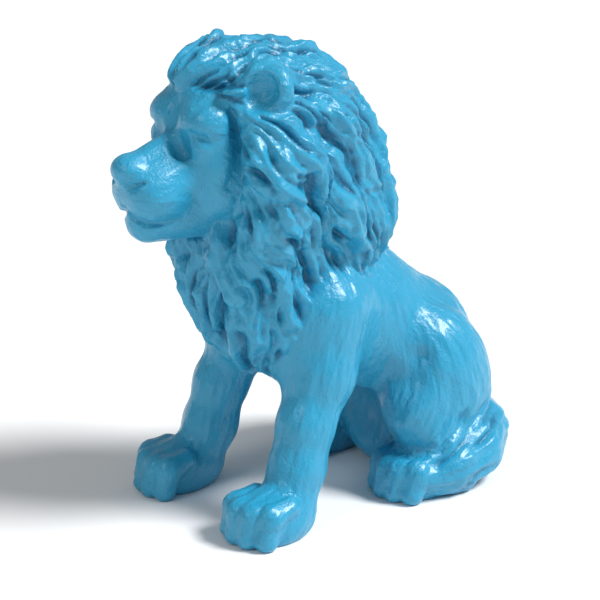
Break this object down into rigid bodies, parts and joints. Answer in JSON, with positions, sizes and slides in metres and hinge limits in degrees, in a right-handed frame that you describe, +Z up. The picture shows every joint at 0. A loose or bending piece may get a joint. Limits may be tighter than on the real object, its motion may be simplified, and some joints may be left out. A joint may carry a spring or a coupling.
{
  "type": "lion sculpture",
  "caption": "Seated lion sculpture cast in one piece, with a thick wavy mane, round ears, four-toed paws and a tufted tail curled round its left haunch.",
  "frame": {"origin": "middle of the width and length at the level the soles stand on", "axes": "+Z up, the lion looks along -Y, its own left side is +X"},
  "size_m": [0.2039, 0.3688, 0.4012],
  "materials": {
    "lacquered_resin": "gloss"
  },
  "bodies": {
    "root": {"lion": "lacquered_resin"}
  },
  "joints": []
}
